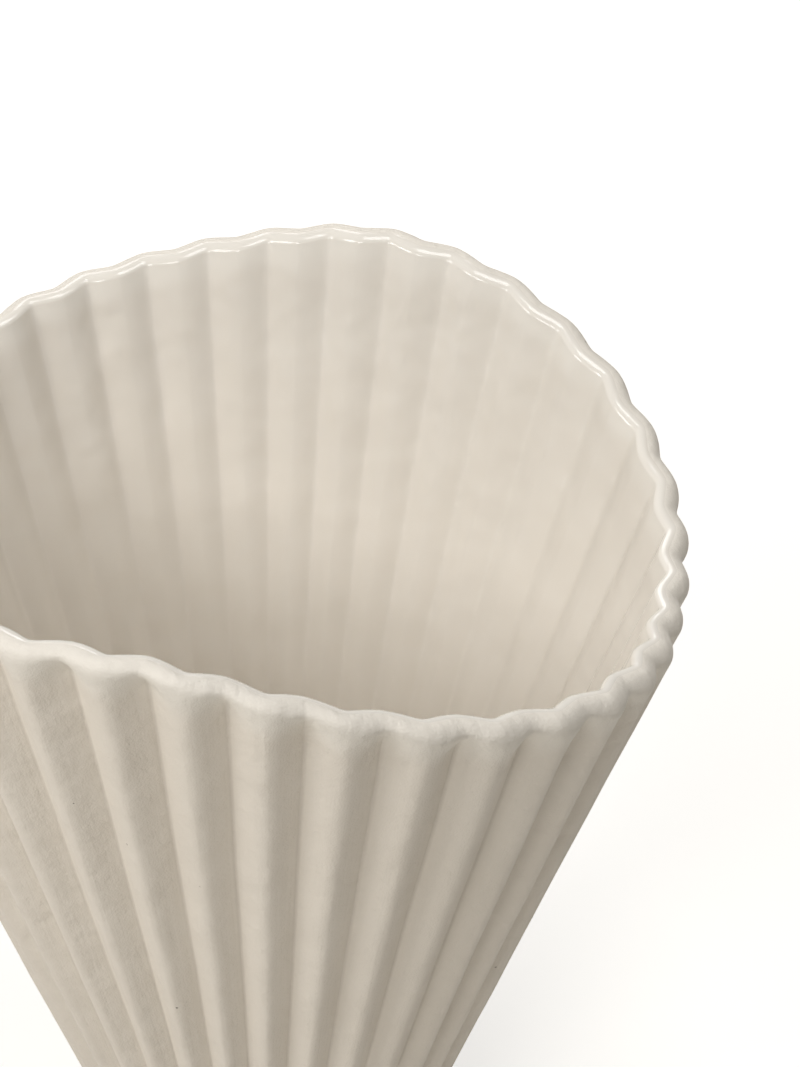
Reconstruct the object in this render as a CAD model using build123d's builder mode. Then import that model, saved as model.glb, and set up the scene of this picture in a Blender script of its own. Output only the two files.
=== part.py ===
"""Fluted fan vase: a round stoneware cone of upright ribs with an arched, scalloped rim.

Millimetres, +Z up. The origin is on the table, at the centre of the foot ring.
The long axis of the foot lies along X, and the rim is highest over the Y axis.
"""
import os
from math import acos, atan2, cos, hypot, pi, sin

from build123d import *

# Whole vase, measured over the outer ridges
vase_height = 205.0
mouth_half_length = 102.3
mouth_half_depth = 93.3
mouth_power = 2.32

# Share of the mouth's size that the cone has where it would meet the table
base_share = 0.317

# Arch of the rim: how far it falls from the middle to the ends, and its lean to one side
arch_drop = 28.7
arch_power = 1.68
rim_lean = 5.0

# Ribbed wall: sharp grooves outside, shallower swellings inside, and the share of a rib that is its ridge
rib_count = 38
groove_depth = 4.8
ridge_share = 0.35
rim_wall = 5.8
foot_wall = 8.5
swelling = 2.5

# Rolled lip along the rim, a little proud of the ridges and with shallower grooves
lip_height = 3.6
lip_roll = 0.4
lip_groove_depth = 3.0
lip_edge_radius = 1.8

# Floor slab, seated in a rebate under the wall
floor_thickness = 6.0
seat_wall = 3.0

# Foot ring, set in a groove under the floor slab
foot_height = 8.0
foot_inset = 3.0
foot_width = 6.0
foot_chamfer = 0.8
foot_groove_depth = 1.5

# Slip in the joints, and glaze inside
slip_gap = 0.4
glaze_thickness = 0.4
glaze_edge_drop = 1.5

# Cuts run past what they cut by this much
overrun = 5.0
arch_steps = 22

rib_angle = 2 * pi / rib_count
floor_bottom = foot_height
floor_top = floor_bottom + floor_thickness
open_top = vase_height + overrun


def ridge_reach(angle):
    """Distance from the axis to the outer ridges, level with the highest rim."""
    along = abs(cos(angle)) / mouth_half_length
    across = abs(sin(angle)) / mouth_half_depth
    return (along**mouth_power + across**mouth_power) ** (-1 / mouth_power)


def size_at(height):
    """Share of the mouth's size that the cone has at a height."""
    return base_share + (1 - base_share) * height / vase_height


def spot(angle, reach):
    """Point of a level section, from its direction and its distance from the axis."""
    return (reach * cos(angle), reach * sin(angle))


def outer_section(height, depth, proud):
    """Level section of the outside: flat flanks, soft ridges and sharp grooves."""
    size = size_at(height)
    flank_drop = depth * size * (ridge_share / 2) / (1 - ridge_share / 2)
    turn_shares = (-1, -ridge_share, 0, ridge_share, 1)
    drops = (depth * size, flank_drop, 0, flank_drop, depth * size)
    with BuildSketch(Plane.XY.offset(height)) as section:
        with BuildLine():
            for rib in range(rib_count):
                turns = [(rib + share / 2) * rib_angle for share in turn_shares]
                points = [spot(turn, ridge_reach(turn) * size + proud - drop) for turn, drop in zip(turns, drops)]
                Line(points[0], points[1])
                ThreePointArc(points[1], points[2], points[3])
                Line(points[3], points[4])
        make_face()
    return section.sketch


def inner_section(height, coat):
    """Level section of the inside: round swellings that meet in creases behind the ridges."""
    size = size_at(height)
    wall = rim_wall + (foot_wall - rim_wall) * (vase_height - height) / (vase_height - floor_top)
    drops = (wall, wall + swelling * size, wall)
    with BuildSketch(Plane.XY.offset(height)) as section:
        with BuildLine():
            for rib in range(rib_count):
                turns = [(rib + share / 2) * rib_angle for share in (0, 1, 2)]
                points = [spot(turn, ridge_reach(turn) * size - drop - coat) for turn, drop in zip(turns, drops)]
                ThreePointArc(*points)
        make_face()
    return section.sketch


def rim_point(share, lowered):
    """Point of the arched rim line seen from the front, at a share of its half length."""
    direction = acos(max(-1, min(1, share)))
    height = vase_height - arch_drop * abs(share) ** arch_power - rim_lean * share
    return (ridge_reach(direction) * size_at(height) * share, height - lowered)


def space_above_rim(lowered):
    """Everything over the arched rim line, with that line set lower by a given amount."""
    widest = 1 + overrun / mouth_half_length
    shares = [(2 * step / arch_steps - 1) * widest for step in range(arch_steps + 1)]
    side = mouth_half_length + 2 * overrun
    top = open_top + overrun
    with BuildPart() as space:
        with BuildSketch(Plane.XZ):
            with BuildLine():
                rim = Spline(*[rim_point(share, lowered) for share in shares])
                start = rim @ 0
                end = rim @ 1
                Polyline(end, (side, end.Y), (side, top), (-side, top), (-side, start.Y), start)
            make_face()
        extrude(amount=mouth_half_depth + 2 * overrun, both=True)
    return space.part


def foot_oval(inset, height):
    """Oval under the wall, inset from the bottoms of the grooves."""
    size = size_at(floor_bottom)
    back = groove_depth * size + inset
    with BuildSketch(Plane.XY.offset(height)) as oval:
        Ellipse(mouth_half_length * size - back, mouth_half_depth * size - back)
    return oval.sketch


def beyond(edge, inset):
    """Whether an edge of the rim lies further out than a line inset from the ridges."""
    middle = edge @ 0.5
    reach = ridge_reach(atan2(middle.Y, middle.X)) * size_at(middle.Z)
    return hypot(middle.X, middle.Y) > reach - inset


os.makedirs("parts", exist_ok=True)

# Lip, a band along the rim that closes the tops of the grooves
with BuildPart() as lip:
    low = outer_section(floor_top, lip_groove_depth, lip_roll)
    loft([low, outer_section(open_top, lip_groove_depth, lip_roll)], ruled=True)
    add(space_above_rim(lip_height), mode=Mode.INTERSECT)

# Hollow of the wall
with BuildPart() as hollow:
    loft([inner_section(floor_top, 0), inner_section(open_top + overrun, 0)], ruled=True)

# Ribbed wall: folds, lip, hollow, arched rim, and the rebate for the floor slab
with BuildPart() as fluted_wall:
    loft([outer_section(floor_bottom, groove_depth, 0), outer_section(open_top, groove_depth, 0)], ruled=True)
    add(lip.part)
    add(hollow.part, mode=Mode.SUBTRACT)
    add(space_above_rim(0), mode=Mode.SUBTRACT)
    extrude(foot_oval(seat_wall, floor_bottom), amount=floor_thickness, mode=Mode.SUBTRACT)
    rim_edges = fluted_wall.faces().sort_by(Axis.Z)[-2:].edges()
    rim_edges = rim_edges.filter_by(lambda edge: abs((edge @ 0.5).Y) > rim_wall / 10)
    fillet(rim_edges.filter_by(lambda edge: beyond(edge, rim_wall * 3 / 4)), lip_edge_radius)
fluted_wall.part.label = "fluted_wall"

# Floor slab, with a groove under it for the foot ring
with BuildPart() as floor_slab:
    extrude(foot_oval(seat_wall + slip_gap, floor_bottom), amount=floor_thickness)
    with BuildSketch(Plane.XY.offset(floor_bottom)):
        add(foot_oval(seat_wall + foot_inset - slip_gap, 0))
        add(foot_oval(seat_wall + foot_inset + foot_width + slip_gap, 0), mode=Mode.SUBTRACT)
    extrude(amount=foot_groove_depth, mode=Mode.SUBTRACT)
floor_slab.part.label = "floor_slab"

# Foot ring, ground flat where it stands
with BuildPart() as foot_ring:
    with BuildSketch():
        add(foot_oval(seat_wall + foot_inset, 0))
        add(foot_oval(seat_wall + foot_inset + foot_width, 0), mode=Mode.SUBTRACT)
    extrude(amount=foot_height + foot_groove_depth - slip_gap)
    chamfer(foot_ring.edges().group_by(Axis.Z)[0], foot_chamfer)
foot_ring.part.label = "foot_ring"

# Slip that joins the slab to the wall: a thin band round the slab's edge
with BuildPart() as floor_slip:
    extrude(foot_oval(seat_wall, floor_bottom), amount=floor_thickness)
    extrude(foot_oval(seat_wall + slip_gap, floor_bottom), amount=floor_thickness, mode=Mode.SUBTRACT)
floor_slip.part.label = "floor_slip"

# Slip that joins the foot ring to the slab: what is left of the groove
with BuildPart() as foot_slip:
    with BuildSketch(Plane.XY.offset(floor_bottom)):
        add(foot_oval(seat_wall + foot_inset - slip_gap, 0))
        add(foot_oval(seat_wall + foot_inset + foot_width + slip_gap, 0), mode=Mode.SUBTRACT)
    extrude(amount=foot_groove_depth)
    add(foot_ring.part, mode=Mode.SUBTRACT)
foot_slip.part.label = "foot_slip"

# Glaze, one coat over the inside and the floor, up to just under the lip
with BuildPart() as inside_glaze:
    add(hollow.part)
    low = inner_section(floor_top + glaze_thickness, glaze_thickness)
    high = inner_section(open_top + 2 * overrun, glaze_thickness)
    loft([low, high], ruled=True, mode=Mode.SUBTRACT)
    add(space_above_rim(glaze_edge_drop), mode=Mode.SUBTRACT)
inside_glaze.part.label = "inside_glaze"

for piece in (fluted_wall, floor_slab, foot_ring, floor_slip, foot_slip, inside_glaze):
    export_step(piece.part, f"parts/{piece.part.label}.step")
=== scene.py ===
"""Looks of the fluted fan vase: a bare stoneware wall of upright ribs with a cream glaze inside.

Metres, +Z up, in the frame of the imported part. The origin is on the table, under the middle of the foot.
"""
from math import cos, pi, radians, sin

import bpy
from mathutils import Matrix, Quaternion, Vector


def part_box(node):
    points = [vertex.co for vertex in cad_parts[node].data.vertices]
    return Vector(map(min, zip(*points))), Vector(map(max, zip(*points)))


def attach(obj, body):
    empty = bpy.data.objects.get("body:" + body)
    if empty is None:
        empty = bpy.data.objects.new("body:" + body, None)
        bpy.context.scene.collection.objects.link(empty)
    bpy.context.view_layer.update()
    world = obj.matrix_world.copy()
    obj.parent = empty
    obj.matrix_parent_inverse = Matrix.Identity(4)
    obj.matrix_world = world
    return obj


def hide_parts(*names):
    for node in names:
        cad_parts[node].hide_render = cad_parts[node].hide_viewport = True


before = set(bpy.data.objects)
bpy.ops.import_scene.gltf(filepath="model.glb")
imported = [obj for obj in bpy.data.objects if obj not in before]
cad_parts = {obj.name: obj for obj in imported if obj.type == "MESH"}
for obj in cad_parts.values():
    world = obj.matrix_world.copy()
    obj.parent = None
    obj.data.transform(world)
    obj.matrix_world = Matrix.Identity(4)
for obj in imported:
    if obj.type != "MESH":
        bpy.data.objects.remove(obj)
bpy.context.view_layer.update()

# Ribbed wall: bare stoneware, pressed in a fluted mould as one cone that stands on a small oval foot.
# Each rib has two flat flanks, a soft crest and a tight valley. The mouth's edge is rolled over by hand
# into a lip that closes the tops of the grooves, and a sponge has left it smooth and a little uneven.
vase_height = 0.205
mouth_half_length = 0.1023
mouth_half_depth = 0.0933
mouth_power = 2.32
base_share = 0.317
arch_drop = 0.0287
arch_power = 1.68
rim_lean = 0.0050
rim_wave_height = 0.0016
rim_wave_count = 4
rim_wave_turn = radians(-22.5)
rim_rise_height = 0.0056
rim_rise_turn = radians(-140)
rim_rise_reach = radians(36)
rib_count = 38
rib_drift_offset = -0.011
rib_drifts = ((1, 0.030, radians(16)), (2, 0.020, radians(108)))
rib_wobble_share = 0.035
groove_depth = 0.0048
groove_unevenness_share = 0.10
ridge_share = 0.34
valley_softness_share = 0.02
rim_wall = 0.0058
foot_wall = 0.0085
swelling = 0.0023
swelling_softness_share = 0.17
lip_proud = 0.0001
lip_groove_depth = 0.0019
lip_ridge_share = 0.85
lip_valley_softness_share = 0.13
lip_outer_share = 0.5
lip_outer_fall = 0.0036
lip_inner_fall = 0.0018
lip_valley_share = 0.35
lip_unevenness = 0.0004
neck_height = 0.012
closing_start = 0.0005
closing_height = 0.0068
crease_start = 0.0015
crease_height = 0.0045
broad_unevenness = 0.0003
fine_unevenness = 0.00008
wall_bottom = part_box("fluted_wall")[0].z
floor_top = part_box("floor_slab")[1].z
seat_half_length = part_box("floor_slip")[1].x
seat_half_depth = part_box("floor_slip")[1].y

# Noise scales, in waves per metre, and how closely columns of points crowd at a rib's crest and valley
wobble_scale = 12
broad_scale = 25
fine_scale = 90
lip_scale = 55
crowding_share = 0.7
columns_per_rib = 20
merge_distance = 1e-6


class Amount:
    """A number at every point of a surface, worked out by the math nodes of one tree."""

    def __init__(self, tree, socket):
        self.tree = tree
        self.socket = socket

    def step(self, operation, *others):
        """Another amount, worked out from this one and others by one math node."""
        node = self.tree.nodes.new("ShaderNodeMath")
        node.operation = operation
        for place, value in enumerate((self, *others)):
            if isinstance(value, Amount):
                self.tree.links.new(value.socket, node.inputs[place])
            else:
                node.inputs[place].default_value = value
        return Amount(self.tree, node.outputs[0])

    def __add__(self, other):
        return self.step("ADD", other)

    def __sub__(self, other):
        return self.step("SUBTRACT", other)

    def __mul__(self, other):
        return self.step("MULTIPLY", other)

    def __truediv__(self, other):
        return self.step("DIVIDE", other)

    def __pow__(self, other):
        return self.step("POWER", other)

    def __radd__(self, other):
        return self + other

    def __rmul__(self, other):
        return self * other

    def __rsub__(self, other):
        return self * -1 + other

    def __rtruediv__(self, other):
        return (self ** -1) * other

    def __abs__(self):
        return self.step("ABSOLUTE")

    def between(self, low, high, soft=False):
        """Share of the way from low to high, kept between 0 and 1."""
        node = self.tree.nodes.new("ShaderNodeMapRange")
        node.interpolation_type = "SMOOTHSTEP" if soft else "LINEAR"
        for place, value in enumerate((self, low, high)):
            if isinstance(value, Amount):
                self.tree.links.new(value.socket, node.inputs[place])
            else:
                node.inputs[place].default_value = value
        return Amount(self.tree, node.outputs[0])

    def towards(self, other, share):
        """This amount at share 0 and the other at share 1."""
        return self + (other - self) * share


def joined(x, y, z):
    """One vector socket from three amounts."""
    vector = x.tree.nodes.new("ShaderNodeCombineXYZ")
    for socket, value in zip(vector.inputs, (x, y, z)):
        x.tree.links.new(value.socket, socket)
    return vector.outputs[0]


def unevenness(tree, place, scale, seed, detail=1):
    """Smooth noise between about -1 and 1, the same on every run."""
    noise = tree.nodes.new("ShaderNodeTexNoise")
    noise.noise_dimensions = "4D"
    noise.inputs["Scale"].default_value = scale
    noise.inputs["Detail"].default_value = detail
    noise.inputs["W"].default_value = seed
    tree.links.new(place, noise.inputs["Vector"])
    return (Amount(tree, noise.outputs["Fac"]) - 0.5) * 2


def new_tree(name, sizes):
    """A node tree for one surface, with a named input for each of its sizes."""
    tree = bpy.data.node_groups.new(name, "GeometryNodeTree")
    tree.interface.new_socket("Geometry", in_out="INPUT", socket_type="NodeSocketGeometry")
    tree.interface.new_socket("Geometry", in_out="OUTPUT", socket_type="NodeSocketGeometry")
    for size in sizes:
        tree.interface.new_socket(size, in_out="INPUT", socket_type="NodeSocketFloat")
    tree.interface.new_socket("Finish", in_out="INPUT", socket_type="NodeSocketMaterial")
    inputs = tree.nodes.new("NodeGroupInput")
    amounts = {size: Amount(tree, inputs.outputs[size]) for size in sizes}
    return tree, inputs, amounts


def grid_of(tree, columns, rows):
    """A flat sheet of points, with the share of the way round and the row number of each point."""
    grid = tree.nodes.new("GeometryNodeMeshGrid")
    grid.inputs["Size X"].default_value = 1
    grid.inputs["Size Y"].default_value = 1
    grid.inputs["Vertices X"].default_value = columns + 1
    grid.inputs["Vertices Y"].default_value = rows
    position = tree.nodes.new("GeometryNodeInputPosition")
    parts = tree.nodes.new("ShaderNodeSeparateXYZ")
    tree.links.new(position.outputs[0], parts.inputs[0])
    around = Amount(tree, parts.outputs["X"]) + 0.5
    row = (Amount(tree, parts.outputs["Y"]) + 0.5) * (rows - 1)
    return grid.outputs["Mesh"], around, row


def remember(tree, mesh, name, amount):
    """Keeps an amount on the mesh under a name, for the finish to read."""
    store = tree.nodes.new("GeometryNodeStoreNamedAttribute")
    store.inputs["Name"].default_value = name
    tree.links.new(mesh, store.inputs["Geometry"])
    tree.links.new(amount.socket, store.inputs["Value"])
    return store.outputs["Geometry"]


def finish_surface(tree, inputs, mesh, place, marks):
    """Moves the sheet's points to their places, sews its edges and gives it its finish."""
    for name, amount in marks.items():
        mesh = remember(tree, mesh, name, amount)
    steps = [
        ("GeometryNodeSetPosition", "Position", place),
        ("GeometryNodeMergeByDistance", "Distance", merge_distance),
        ("GeometryNodeSetShadeSmooth", None, None),
        ("GeometryNodeRealizeInstances", None, None),
        ("GeometryNodeSetMaterial", "Material", inputs.outputs["Finish"]),
    ]
    for kind, name, value in steps:
        node = tree.nodes.new(kind)
        tree.links.new(mesh, node.inputs["Geometry"])
        if isinstance(value, float):
            node.inputs[name].default_value = value
        elif name:
            tree.links.new(value, node.inputs[name])
        mesh = node.outputs["Geometry"]
    result = tree.nodes.new("NodeGroupOutput")
    tree.links.new(mesh, result.inputs["Geometry"])


def made_by(tree, name, sizes, finish):
    """A plain mesh object from what a tree makes with these sizes."""
    seed_mesh = bpy.data.meshes.new(name + "_start")
    maker = bpy.data.objects.new(name + "_maker", seed_mesh)
    bpy.context.scene.collection.objects.link(maker)
    modifier = maker.modifiers.new("shape", "NODES")
    modifier.node_group = tree
    sockets = {item.name: item.identifier for item in tree.interface.items_tree if item.in_out == "INPUT"}
    for size, value in sizes.items():
        modifier[sockets[size]] = float(value)
    modifier[sockets["Finish"]] = finish
    shape = bpy.data.meshes.new_from_object(maker.evaluated_get(bpy.context.evaluated_depsgraph_get()))
    bpy.data.objects.remove(maker)
    shape.name = name
    piece = bpy.data.objects.new(name, shape)
    bpy.context.scene.collection.objects.link(piece)
    return piece


shape_sizes = {
    "Vase Height": vase_height,
    "Mouth Half Length": mouth_half_length,
    "Mouth Half Depth": mouth_half_depth,
    "Mouth Power": mouth_power,
    "Base Share": base_share,
    "Arch Drop": arch_drop,
    "Arch Power": arch_power,
    "Rim Lean": rim_lean,
    "Rim Wave Height": rim_wave_height,
    "Rim Wave Count": rim_wave_count,
    "Rim Wave Turn": rim_wave_turn,
    "Rim Rise Height": rim_rise_height,
    "Rim Rise Turn": rim_rise_turn,
    "Rim Rise Reach": rim_rise_reach,
    "Rib Count": rib_count,
    "Rib Drift Offset": rib_drift_offset,
    "Rib Wobble": rib_wobble_share * 2 * pi / rib_count,
    "Rim Wall": rim_wall,
    "Foot Wall": foot_wall,
    "Swelling": swelling,
    "Swelling Softness": swelling_softness_share,
    "Floor Top": floor_top,
    "Groove Depth": groove_depth,
    "Groove Unevenness": groove_unevenness_share,
    "Ridge Share": ridge_share,
    "Valley Softness": valley_softness_share,
    "Neck Height": neck_height,
    "Closing Start": closing_start,
    "Closing Height": closing_height,
    "Crease Start": crease_start,
    "Crease Height": crease_height,
    "Lip Proud": lip_proud,
    "Lip Groove Depth": lip_groove_depth,
    "Lip Ridge Share": lip_ridge_share,
    "Lip Valley Softness": lip_valley_softness_share,
    "Lip Outer Share": lip_outer_share,
    "Lip Outer Fall": lip_outer_fall,
    "Lip Inner Fall": lip_inner_fall,
    "Lip Valley Share": lip_valley_share,
    "Lip Unevenness": lip_unevenness,
    "Broad Unevenness": broad_unevenness,
    "Fine Unevenness": fine_unevenness,
}


def ridge_reach(direction, size):
    """Distance from the axis to the outer ridges, level with the highest rim."""
    along = abs(direction.step("COSINE")) / size["Mouth Half Length"]
    across = abs(direction.step("SINE")) / size["Mouth Half Depth"]
    power = size["Mouth Power"]
    return (along ** power + across ** power) ** (-1 / power)


def size_at(height, size):
    """Share of the mouth's size that the cone has at a height."""
    return size["Base Share"] + (1 - size["Base Share"]) * height / size["Vase Height"]


def fold(turn, ridge, valley):
    """Depth share of a fold: 0 on its ridge at whole turns, 1 in its valley half way between."""
    off_crest = abs(turn - turn.step("ROUND"))
    off_valley = 0.5 - off_crest
    on_ridge = off_crest.step("MINIMUM", ridge / 2)
    rise = off_crest - on_ridge + on_ridge ** 2 / ridge
    fall = (off_valley ** 2 + valley ** 2) ** 0.5 - off_valley
    end = (0.25 + valley ** 2) ** 0.5 - 0.5
    whole = 0.5 - ridge / 4 + end - valley
    return (rise + end - fall) / whole


def inner_drop(turn, height, size):
    """Distance from the ridge line in to the hollow: round swellings between creases behind the ridges."""
    thin = (size["Vase Height"] - height) / (size["Vase Height"] - size["Floor Top"])
    wall = size["Rim Wall"] + (size["Foot Wall"] - size["Rim Wall"]) * thin
    across = abs(turn - turn.step("ROUND")) * 2
    soft = size["Swelling Softness"]
    rise = ((across ** 2 + soft ** 2) ** 0.5 - soft) * (2 - across)
    return wall + rise * size["Swelling"] * size_at(height, size)


class RibLines:
    """The lines that the ribs follow round the vase, uneven as a hand-made mould leaves them."""

    def __init__(self, tree, around, size):
        self.tree = tree
        self.size = size
        even_turn = around * size["Rib Count"]
        self.turn = even_turn - (even_turn * 4 * pi).step("SINE") * crowding_share / (4 * pi)
        self.even = self.turn * (2 * pi) / size["Rib Count"]
        self.line = self.even + size["Rib Drift Offset"]
        for count, reach, peak in rib_drifts:
            self.line = self.line + ((self.even - peak) * count).step("COSINE") * reach
        self.side_x = self.even.step("COSINE") * size["Mouth Half Depth"]
        self.side_y = self.even.step("SINE") * size["Mouth Half Depth"]
        self.lip_fold = fold(self.turn, size["Lip Ridge Share"], size["Lip Valley Softness"])
        self.lip_noise = self.noise(around * 0, lip_scale, seed=1)
        self.outer_fall = size["Lip Outer Fall"] * (1 - self.lip_fold * size["Lip Valley Share"])

    def noise(self, height, scale, seed):
        """Noise at this height of every line."""
        return unevenness(self.tree, joined(self.side_x, self.side_y, height), scale, seed)

    def rim(self, across):
        """Height of the arched rim, level across the wall, from the outside (0) to the inside (1)."""
        size = self.size
        inset = across * size["Rim Wall"] / ridge_reach(self.line, size)
        share = self.line.step("COSINE") * (1 - inset)
        arch = abs(share) ** size["Arch Power"] * size["Arch Drop"] + share * size["Rim Lean"]
        wave = ((self.line - size["Rim Wave Turn"]) * size["Rim Wave Count"]).step("COSINE")
        bumps = (self.lip_noise - 1) * size["Lip Unevenness"]
        off_rise = (self.line - size["Rim Rise Turn"]).step("COSINE")
        near_rise = off_rise.between(size["Rim Rise Reach"].step("COSINE"), 1, soft=True)
        rise = near_rise * size["Rim Rise Height"]
        return size["Vase Height"] - arch + wave * size["Rim Wave Height"] + rise + bumps

    def lip(self, roll):
        """Share of the wall's thickness and fall below the rim, over the lip from 0 outside to 1 inside."""
        size = self.size
        outward = (roll * pi).step("COSINE")
        upward = (roll * pi).step("SINE")
        outer_side = outward.step("GREATER_THAN", 0.0)
        outer_across = size["Lip Outer Share"] * (1 - outward.step("MAXIMUM", 0.0))
        inner_across = (size["Lip Outer Share"] - 1) * outward.step("MINIMUM", 0.0)
        fall = size["Lip Inner Fall"].towards(self.outer_fall, outer_side)
        return outer_across + inner_across, fall * (1 - upward)

    def outer_drop(self, below, height):
        """How far the outside lies in from the ridge line, with the lip that closes the grooves."""
        size = self.size
        rounding = below.between(0, size["Neck Height"], soft=True)
        closing = below.between(size["Closing Start"], size["Closing Height"], soft=True)
        creasing = below.between(size["Crease Start"], size["Crease Height"], soft=True)
        ridge = size["Lip Ridge Share"].towards(size["Ridge Share"], rounding)
        valley = size["Lip Valley Softness"].towards(size["Valley Softness"], creasing)
        uneven = 1 + self.noise(height, broad_scale, seed=5) * size["Groove Unevenness"]
        open_depth = size["Groove Depth"] * size_at(height, size) * uneven
        depth = size["Lip Groove Depth"].towards(open_depth, closing)
        return fold(self.turn, ridge, valley) * depth - size["Lip Proud"] * (1 - closing)

    def direction(self, height):
        """Direction from the axis of every line at this height, with a small wobble."""
        return self.line + self.noise(height, wobble_scale, seed=2) * self.size["Rib Wobble"]

    def bulge(self, height):
        """How far the surface stands out of its true place at this height."""
        broad = (self.noise(height, broad_scale, seed=3) - 1) * self.size["Broad Unevenness"]
        return broad + self.noise(height, fine_scale, seed=4) * self.size["Fine Unevenness"]


def wall_tree():
    """Tree of the wall: a sheet bent round the cone, up the outside, over the lip and down the hollow."""
    sizes = dict(shape_sizes)
    sizes.update({
        "Wall Bottom": wall_bottom,
        "Seat Half Length": seat_half_length,
        "Seat Half Depth": seat_half_depth,
    })
    tree, inputs, size = new_tree("pleated_wall", sizes)
    outer_rows, neck_rows, roll_rows, inner_rows, seat_rows = 44, 16, 18, 12, 3
    neck_start = outer_rows
    roll_start = neck_start + neck_rows
    inner_start = roll_start + roll_rows
    seat_start = inner_start + inner_rows
    mesh, around, row = grid_of(tree, rib_count * columns_per_rib, seat_start + seat_rows + 1)
    up = row.between(0, neck_start)
    neck = row.between(neck_start, roll_start)
    roll = row.between(roll_start, inner_start)
    down = row.between(inner_start, seat_start)
    seat = row.between(seat_start, seat_start + 1)
    under = row.between(seat_start + 1, seat_start + 2)
    back = row.between(seat_start + 2, seat_start + 3)
    on_roll = row.step("GREATER_THAN", roll_start - 0.5)
    inside = row.step("GREATER_THAN", inner_start - 0.5)

    lines = RibLines(tree, around, size)
    across, below = lines.lip(roll)
    rim = lines.rim(across)
    outer_height = size["Wall Bottom"].towards(rim - size["Neck Height"], up)
    neck_height_now = outer_height + (size["Neck Height"] - lines.outer_fall) * neck
    lip_height = rim - below
    outside_height = neck_height_now.towards(lip_height, on_roll)
    height = outside_height.towards(lip_height.towards(size["Floor Top"], down), inside)
    height = height.towards(size["Wall Bottom"], under)
    direction = lines.direction(height)

    ridge = ridge_reach(direction, size) * size_at(height, size) + lines.bulge(height)
    outer_drop = lines.outer_drop(rim - height, height)
    drop = outer_drop.towards(inner_drop(lines.turn, height, size), across)
    seat_along = abs(direction.step("COSINE")) / size["Seat Half Length"]
    seat_across = abs(direction.step("SINE")) / size["Seat Half Depth"]
    seat_reach = (seat_along ** 2 + seat_across ** 2) ** -0.5
    reach = (ridge - drop).towards(seat_reach, seat)
    reach = reach.towards(ridge - outer_drop, back)
    place = joined(reach * direction.step("COSINE"), reach * direction.step("SINE"), height)
    groove = fold(lines.turn, size["Ridge Share"], size["Valley Softness"])
    finish_surface(tree, inputs, mesh, place, {"below_rim": rim - height, "groove": groove})
    return tree, sizes


def object_place(tree):
    """The place on the object, as a vector socket and as its three amounts."""
    place = tree.nodes.new("ShaderNodeTexCoord").outputs["Object"]
    parts = tree.nodes.new("ShaderNodeSeparateXYZ")
    tree.links.new(place, parts.inputs[0])
    return place, [Amount(tree, part) for part in parts.outputs]


def marked(tree, name):
    """An amount that was kept on the mesh."""
    node = tree.nodes.new("ShaderNodeAttribute")
    node.attribute_name = name
    return Amount(tree, node.outputs["Fac"])


def tinted(tree, base, other, amount):
    """A colour that goes from the base to the other by an amount; the base may be a socket or a colour."""
    mix = tree.nodes.new("ShaderNodeMix")
    mix.data_type = "RGBA"
    sockets = {socket.identifier: socket for socket in mix.inputs}
    tree.links.new(amount.socket, sockets["Factor_Float"])
    for place, colour in (("A_Color", base), ("B_Color", other)):
        if isinstance(colour, tuple):
            sockets[place].default_value = colour
        else:
            tree.links.new(colour, sockets[place])
    return next(socket for socket in mix.outputs if socket.identifier == "Result_Color")


def dots(tree, place, scale, radius_share, picked_share):
    """Scattered round dots: 1 in the middle of a few cells, 0 elsewhere."""
    cells = tree.nodes.new("ShaderNodeTexVoronoi")
    cells.inputs["Scale"].default_value = scale
    tree.links.new(place, cells.inputs["Vector"])
    chance = tree.nodes.new("ShaderNodeSeparateXYZ")
    tree.links.new(cells.outputs["Color"], chance.inputs[0])
    picked = Amount(tree, chance.outputs["X"]).step("LESS_THAN", picked_share)
    size = radius_share * (Amount(tree, chance.outputs["Y"]) + 0.5)
    near = Amount(tree, cells.outputs["Distance"]) / size
    return (1 - near.between(pinhole_core_share, 1, soft=True)) * picked


def upright_streaks(tree, parts, across_scale, seed):
    """Noise drawn out along the slope of the cone, as a brush or a mould's fluting leaves it."""
    x, y, z = parts
    reach = (x ** 2 + y ** 2) ** 0.5
    side = mouth_half_depth / reach
    place = joined(x * side, y * side, z * streak_length_share)
    return unevenness(tree, place, across_scale, seed, detail=3)


def relief(tree, heights):
    """A surface normal from layers of relief, each an amount and its height in metres."""
    normal = None
    for amount, height in heights:
        bump = tree.nodes.new("ShaderNodeBump")
        bump.inputs["Distance"].default_value = height
        tree.links.new(amount.socket, bump.inputs["Height"])
        if normal:
            tree.links.new(normal, bump.inputs["Normal"])
        normal = bump.outputs["Normal"]
    return normal


def new_finish(name):
    """An empty finish, with its node tree and its shader."""
    finish = bpy.data.materials.new(name)
    finish.use_nodes = True
    return finish, finish.node_tree, finish.node_tree.nodes["Principled BSDF"]


# Colours of bare clay, and how far each mark tints it; two of the marks are painted light: painted shade in
# the creases and painted light on the lip
stoneware_colour = (0.76, 0.70, 0.615, 1)
stoneware_shade = (0.66, 0.59, 0.50, 1)
crease_painted_shade_colour = (0.40, 0.34, 0.27, 1)
painted_lip_light_colour = (0.86, 0.82, 0.745, 1)
speck_colour = (0.20, 0.15, 0.11, 1)
shade_share = 0.06
mottle_tint_share = 0.28
streak_tint_share = 0.10
crease_painted_shade_share = 0.22
painted_lip_light_share = 0.45
speck_tint_share = 0.75

# Scales of its marks, in waves per metre, and the shares of their cells that the pinholes take up
mottle_scale = 28
mottle_reach = 0.6
cloud_scale = 110
grain_scale = 2200
streak_scale = 480
streak_length_share = 0.05
pinhole_scale = 210
pinhole_radius_share = 0.065
pinhole_picked_share = 0.05
rim_pinhole_scale = 330
rim_pinhole_radius_share = 0.09
rim_pinhole_picked_share = 0.09
pinhole_core_share = 0.6
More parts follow.
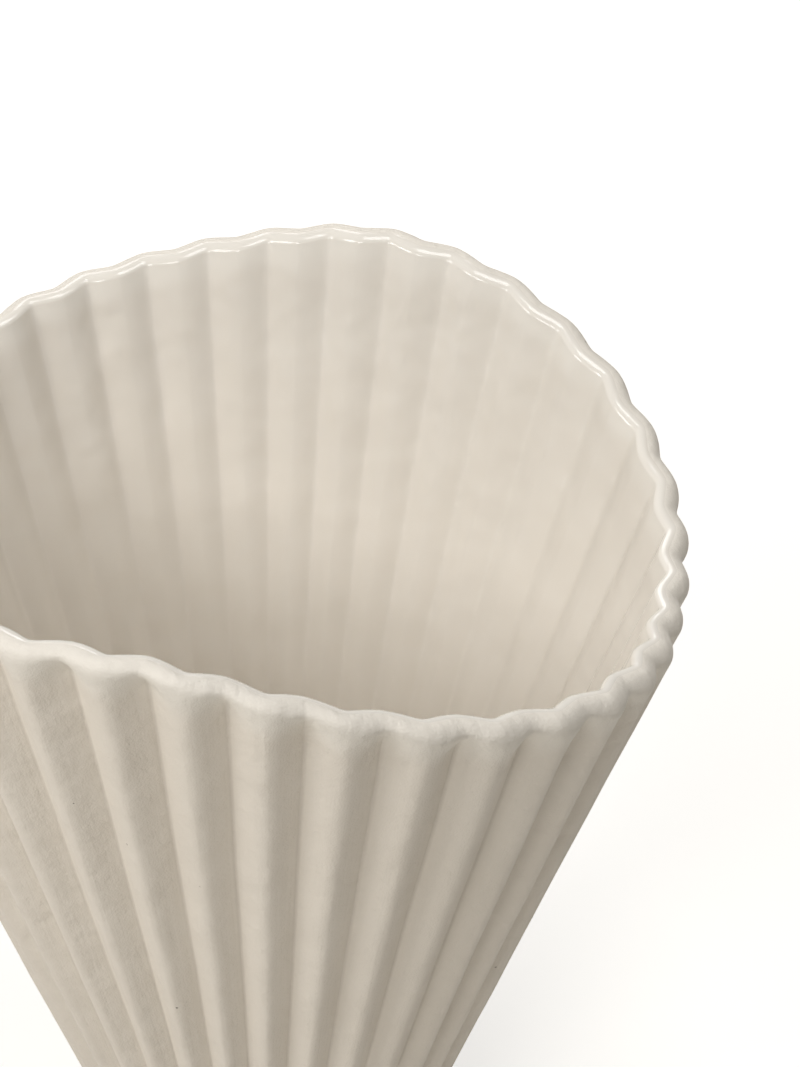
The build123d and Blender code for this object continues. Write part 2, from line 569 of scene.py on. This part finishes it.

# Relief of its marks, its roughness, and how far below the rim its painted crease shade starts and its
# painted light on the lip ends
grain_height = 0.00006
cloud_height = 0.0006
pinhole_depth = 0.0003
streak_height = 0.00010
clay_roughness = 0.62
mottle_roughness = 0.08
grain_roughness = 0.05
clay_gloss_level = 0.4
painted_crease_shade_from_share = 0.9
painted_crease_shade_start = 0.002
painted_crease_shade_whole = 0.006
painted_lip_light_whole = 0.004
painted_lip_light_end = 0.011


def bare_stoneware():
    """Fired clay without glaze: matt, warm grey, with fine grain, brush streaks and small pinholes, with
    painted shade in its creases and painted light on its lip.
    """
    finish, tree, shader = new_finish("bare_stoneware")
    place, parts = object_place(tree)
    mottle = unevenness(tree, place, mottle_scale, seed=11, detail=4).between(-mottle_reach, mottle_reach)
    grain = unevenness(tree, place, grain_scale, seed=12, detail=2)
    cloud = unevenness(tree, place, cloud_scale, seed=13, detail=3)
    streaks = upright_streaks(tree, parts, streak_scale, seed=14)
    below_rim = marked(tree, "below_rim")
    groove = marked(tree, "groove")
    pinholes = dots(tree, place, pinhole_scale, pinhole_radius_share, pinhole_picked_share)
    at_lip = 1 - below_rim.between(painted_lip_light_whole, painted_lip_light_end, soft=True)
    rim_pinholes = dots(tree, place, rim_pinhole_scale, rim_pinhole_radius_share, rim_pinhole_picked_share)
    holes = pinholes.step("MAXIMUM", rim_pinholes * at_lip)

    shade = mottle * mottle_tint_share + streaks * streak_tint_share + shade_share
    colour = tinted(tree, stoneware_colour, stoneware_shade, shade)
    # Painted shade: the bottoms of the valleys are darkened where shade falls in them, from a little below
    # the rim down.
    painted_crease_shade = groove.between(painted_crease_shade_from_share, 1, soft=True)
    painted_crease_shade = painted_crease_shade * below_rim.between(painted_crease_shade_start, painted_crease_shade_whole, soft=True)
    colour = tinted(tree, colour, crease_painted_shade_colour, painted_crease_shade * crease_painted_shade_share)
    # Painted light: the top of the lip is tinted paler, as where light falls on it from above.
    colour = tinted(tree, colour, painted_lip_light_colour, at_lip * painted_lip_light_share)
    colour = tinted(tree, colour, speck_colour, holes * speck_tint_share)
    tree.links.new(colour, shader.inputs["Base Color"])
    roughness = clay_roughness + mottle * mottle_roughness + grain * grain_roughness
    tree.links.new(roughness.socket, shader.inputs["Roughness"])
    shader.inputs["Specular IOR Level"].default_value = clay_gloss_level
    layers = [
        (cloud, cloud_height),
        (streaks, streak_height),
        (grain, grain_height),
        (holes * -1, pinhole_depth),
    ]
    tree.links.new(relief(tree, layers), shader.inputs["Normal"])
    return finish


tree, sizes = wall_tree()
wall = made_by(tree, "pleated_wall", sizes, bare_stoneware())
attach(wall, "root")
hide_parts("fluted_wall")

# Inside glaze: one thin coat of cream glaze, poured in and out, over the hollow and the floor.
# It ends on the lip in a thin edge where the clay drank it in, which fires to a faint tan line,
# and it has run round into the corner between the wall and the floor.
glaze_coat = 0.00035
glaze_sunk = 0.00006
glaze_edge_share = 0.54
glaze_corner = 0.005

# Colours of the glaze, how far each mark tints it, and where along the coat its edge ends and its gloss and
# painted light near the lip end
glaze_colour = (0.77, 0.721, 0.648, 1)
glaze_shade = (0.72, 0.65, 0.55, 1)
glaze_line_colour = (0.52, 0.40, 0.27, 1)
glaze_speck_colour = (0.35, 0.27, 0.18, 1)
glaze_shade_share = 0.14
glaze_ripple_scale = 60
glaze_ripple_height = 0.0006
glaze_ripple_tint_share = 0.14
glaze_run_scale = 160
glaze_run_tint_share = 0.08
glaze_line_whole_share = 0.12
glaze_line_end_share = 0.5
glaze_line_tint_share = 0.10
glaze_line_ripple_share = 0.15
glaze_speck_scale = 48
glaze_speck_radius_share = 0.02
glaze_speck_picked_share = 0.12
glaze_speck_tint_share = 0.6
glaze_gloss_level = 0.5
glaze_roughness = 0.25
glaze_roughness_spread = 0.01
glaze_lip_polish = 0.12
glaze_lip_whole_share = 0.005
glaze_lip_end_share = 0.04


def glaze_tree():
    """Tree of the glaze: a sheet from the lip down the hollow and over the floor, and back in the clay."""
    sizes = dict(shape_sizes)
    sizes.update({
        "Coat": glaze_coat,
        "Sunk": glaze_sunk,
        "Edge Share": glaze_edge_share,
        "Corner": glaze_corner,
    })
    tree, inputs, size = new_tree("glaze_coat", sizes)
    edge_rows, down_rows, corner_rows, floor_rows = 14, 30, 8, 5
    back_floor_rows, back_rows, back_edge_rows = 3, 14, 8
    down_start = edge_rows
    corner_start = down_start + down_rows
    floor_start = corner_start + corner_rows
    back_start = floor_start + floor_rows
    rise_start = back_start + back_floor_rows
    return_start = rise_start + back_rows
    end = return_start + back_edge_rows
    mesh, around, row = grid_of(tree, rib_count * columns_per_rib, end + 1)
    edge = row.between(0, down_start)
    down = row.between(down_start, corner_start)
    corner = row.between(corner_start, floor_start)
    floor = row.between(floor_start, back_start)
    back_floor = row.between(back_start, rise_start)
    rise = row.between(rise_start, return_start)
    back_edge = row.between(return_start, end)
    behind = row.step("GREATER_THAN", back_start + 0.5)

    lines = RibLines(tree, around, size)
    roll = size["Edge Share"].towards(1, edge - back_edge)
    across, below = lines.lip(roll)
    lip_height = lines.rim(across) - below
    coat = (size["Coat"] + size["Sunk"]) * edge.between(0, 1, soft=True) - size["Sunk"]
    coat = coat.towards(size["Sunk"] * -1, behind)
    out = (roll * pi).step("COSINE")
    upward = (roll * pi).step("SINE")
    top = size["Floor Top"] + coat
    turned = corner * (pi / 2)
    corner_lift = size["Corner"] * (1 - turned.step("SINE")) * (1 - behind)
    height = lip_height.towards(top + corner_lift, down - rise) + upward * coat
    direction = lines.direction(height)
    ridge = ridge_reach(direction, size) * size_at(height, size) + lines.bulge(height)
    outer_drop = lines.outer_drop(below, height)
    drop = outer_drop.towards(inner_drop(lines.turn, height, size), across)
    corner_reach = size["Corner"] * (1 - turned.step("COSINE")) * (1 - behind)
    reach = ridge - drop + out * coat - corner_reach
    reach = reach * (1 - floor + back_floor)
    place = joined(reach * direction.step("COSINE"), reach * direction.step("SINE"), height)
    finish_surface(tree, inputs, mesh, place, {"edge": edge + behind, "depth": down})
    return tree, sizes


def cream_glaze():
    """Satin cream glaze: softly rippled, glossier near the lip with painted light that makes it paler
    there, and with a faint tan edge.
    """
    finish, tree, shader = new_finish("cream_glaze")
    place, parts = object_place(tree)
    ripple = unevenness(tree, place, glaze_ripple_scale, seed=21, detail=2)
    runs = upright_streaks(tree, parts, glaze_run_scale, seed=22)
    at_line = 1 - marked(tree, "edge").between(glaze_line_whole_share, glaze_line_end_share, soft=True)
    at_lip = 1 - marked(tree, "depth").between(glaze_lip_whole_share, glaze_lip_end_share, soft=True)
    specks = dots(tree, place, glaze_speck_scale, glaze_speck_radius_share, glaze_speck_picked_share)

    shade = glaze_shade_share + ripple * glaze_ripple_tint_share + runs * glaze_run_tint_share
    line = at_line * (glaze_line_tint_share + ripple * glaze_line_ripple_share)
    colour = tinted(tree, glaze_colour, glaze_shade, shade.between(0, 1))
    # Painted light: the glaze just inside the lip is tinted towards the lip's paler, lit colour.
    colour = tinted(tree, colour, painted_lip_light_colour, at_lip * painted_lip_light_share)
    colour = tinted(tree, colour, glaze_line_colour, line.between(0, 1))
    colour = tinted(tree, colour, glaze_speck_colour, specks * glaze_speck_tint_share)
    tree.links.new(colour, shader.inputs["Base Color"])
    roughness = glaze_roughness + (ripple + runs) * glaze_roughness_spread - at_lip * glaze_lip_polish
    tree.links.new(roughness.socket, shader.inputs["Roughness"])
    shader.inputs["Specular IOR Level"].default_value = glaze_gloss_level
    tree.links.new(relief(tree, [(ripple, glaze_ripple_height)]), shader.inputs["Normal"])
    return finish


tree, sizes = glaze_tree()
glaze = made_by(tree, "glaze_coat", sizes, cream_glaze())
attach(glaze, "root")
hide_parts("inside_glaze")

# Floor slab, foot ring and the slip in their joints: rolled and cut clay, joined while leather-hard.
# The slab's underside shows the marks of the board it was rolled on, the foot ring was ground flat
# after firing, and the slip is the finest and palest of the three clays.
board_mark_scale = 300
board_mark_height = 0.0002
grinding_scale = 900
grinding_height = 0.00006
brush_mark_scale = 900
brush_mark_height = 0.0001
slab_roughness = 0.78
ground_roughness = 0.55
slip_roughness = 0.7
roughness_spread = 0.06
ground_colour = (0.70, 0.63, 0.54, 1)
ground_shade = (0.58, 0.50, 0.41, 1)
slip_colour = (0.80, 0.745, 0.66, 1)

# How far each mark tints cut clay
cut_shade_share = 0.1
cut_mottle_tint_share = 0.5
cut_scratch_tint_share = 0.15
cut_hole_tint_share = 0.7
cut_hole_radius_share = 0.06
cut_hole_picked_share = 0.06


def plain_clay(name, colour, shade, roughness, scratch_scale, scratch_height):
    """Clay that was cut, ground or brushed: mottled, with fine marks and a few pinholes."""
    finish, tree, shader = new_finish(name)
    place, parts = object_place(tree)
    mottle = unevenness(tree, place, cloud_scale, seed=31, detail=4).between(-mottle_reach, mottle_reach)
    grain = unevenness(tree, place, grain_scale, seed=32, detail=2)
    stretched = joined(parts[0], parts[1] * streak_length_share, parts[2])
    scratches = unevenness(tree, stretched, scratch_scale, seed=33, detail=3)
    holes = dots(tree, place, rim_pinhole_scale, cut_hole_radius_share, cut_hole_picked_share)
    shading = mottle * cut_mottle_tint_share + scratches * cut_scratch_tint_share + cut_shade_share
    mixed = tinted(tree, colour, shade, shading.between(0, 1))
    mixed = tinted(tree, mixed, speck_colour, holes * cut_hole_tint_share)
    tree.links.new(mixed, shader.inputs["Base Color"])
    roughness_here = roughness + (grain + mottle) * roughness_spread
    tree.links.new(roughness_here.socket, shader.inputs["Roughness"])
    layers = [(scratches, scratch_height), (grain, grain_height), (holes * -1, pinhole_depth)]
    tree.links.new(relief(tree, layers), shader.inputs["Normal"])
    return finish


rolled_slab = plain_clay(
    "rolled_slab", stoneware_colour, stoneware_shade, slab_roughness, board_mark_scale, board_mark_height
)
ground_ring = plain_clay(
    "ground_ring", ground_colour, ground_shade, ground_roughness, grinding_scale, grinding_height
)
brushed_slip = plain_clay(
    "brushed_slip", slip_colour, stoneware_colour, slip_roughness, brush_mark_scale, brush_mark_height
)
finishes = {
    "floor_slab": rolled_slab,
    "foot_ring": ground_ring,
    "floor_slip": brushed_slip,
    "foot_slip": brushed_slip,
}
for node, finish in finishes.items():
    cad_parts[node].data.materials[0] = finish

# Light and camera: a pale floor that stays white far away, a soft key light from the left of the front,
# weaker ones from the front, above and behind, and a surround that looks white but lights warm and dim.
# The camera stands above the mouth, where the photograph was taken.
floor_half_width = 3.0
floor_colour = (0.70, 0.68, 0.64, 1)
floor_roughness = 0.9
floor_glow = 0.56
full_glow_start = 0.35
full_glow_end = 1.2
white = (1, 1, 1, 1)
surround_level = 0.10
surround_warmth = (1, 0.94, 0.84, 1)
light_aim = Vector((0, 0, 0.12))
light_distance = 1.5

# Turn about the vase, rise over the table, width and power of each light
lights = {
    "key": (radians(-133), radians(34), 0.6, 9.1),
    "front_fill": (radians(-97), radians(33), 0.45, 5.4),
    "overhead": (radians(0), radians(80), 0.7, 9.0),
    "back": (radians(108), radians(35), 0.7, 5.2),
}

camera_turn = radians(14.918)
camera_rise = radians(31.336)
camera_distance = 0.653
camera_aim_right = 0.042
camera_aim_up = -0.036
camera_focal = 106.06
film_height = 36

scene = bpy.context.scene
scene.view_settings.view_transform = "Standard"

floor_mesh = bpy.data.meshes.new("floor")
corners = [(-floor_half_width, -floor_half_width, 0), (floor_half_width, -floor_half_width, 0)]
corners += [(floor_half_width, floor_half_width, 0), (-floor_half_width, floor_half_width, 0)]
floor_mesh.from_pydata(corners, [], [(0, 1, 2, 3)])
floor = bpy.data.objects.new("floor", floor_mesh)
scene.collection.objects.link(floor)


def seen_directly(tree):
    """1 for what the camera sees directly, in a gloss or through glass, 0 for other light."""
    light_path = tree.nodes.new("ShaderNodeLightPath")
    kinds = ("Is Camera Ray", "Is Glossy Ray", "Is Transmission Ray")
    direct, in_gloss, through_glass = [Amount(tree, light_path.outputs[kind]) for kind in kinds]
    return (direct + in_gloss + through_glass).step("MINIMUM", 1.0)


floor_finish, tree, shader = new_finish("pale_floor")
shader.inputs["Base Color"].default_value = floor_colour
shader.inputs["Roughness"].default_value = floor_roughness
shader.inputs["Specular IOR Level"].default_value = 0.0
shader.inputs["Emission Color"].default_value = white
x, y = object_place(tree)[1][:2]
far = ((x ** 2 + y ** 2) ** 0.5).between(full_glow_start, full_glow_end, soft=True)
glow = seen_directly(tree) * (floor_glow + far * (1 - floor_glow))
tree.links.new(glow.socket, shader.inputs["Emission Strength"])
floor_mesh.materials.append(floor_finish)

world = bpy.data.worlds.new("surround")
scene.world = world
world.use_nodes = True
seen = seen_directly(world.node_tree)
strength = seen + (1 - seen) * surround_level
surround_colour = tinted(world.node_tree, surround_warmth, white, seen)
background = world.node_tree.nodes["Background"]
world.node_tree.links.new(strength.socket, background.inputs["Strength"])
world.node_tree.links.new(surround_colour, background.inputs["Color"])

for name, (turn, rise, width, power) in lights.items():
    light = bpy.data.lights.new(name, "AREA")
    light.size = width
    light.energy = power
    lamp = bpy.data.objects.new(name, light)
    outwards = Vector((cos(turn) * cos(rise), sin(turn) * cos(rise), sin(rise)))
    lamp.location = light_aim + outwards * light_distance
    lamp.rotation_euler = (outwards * -1).to_track_quat("-Z", "Y").to_euler()
    scene.collection.objects.link(lamp)

level_share = cos(camera_rise)
backwards = Vector((sin(camera_turn) * level_share, -cos(camera_turn) * level_share, sin(camera_rise)))
camera_data = bpy.data.cameras.new("camera")
camera_data.sensor_fit = "VERTICAL"
camera_data.sensor_height = film_height
camera_data.lens = camera_focal
camera = bpy.data.objects.new("camera", camera_data)
camera.location = Vector((0, 0, vase_height)) + backwards * camera_distance
turned = Quaternion((0, 1, 0), -camera_aim_right) @ Quaternion((1, 0, 0), camera_aim_up)
camera.rotation_mode = "QUATERNION"
camera.rotation_quaternion = backwards.to_track_quat("Z", "Y") @ turned
scene.collection.objects.link(camera)
scene.camera = camera
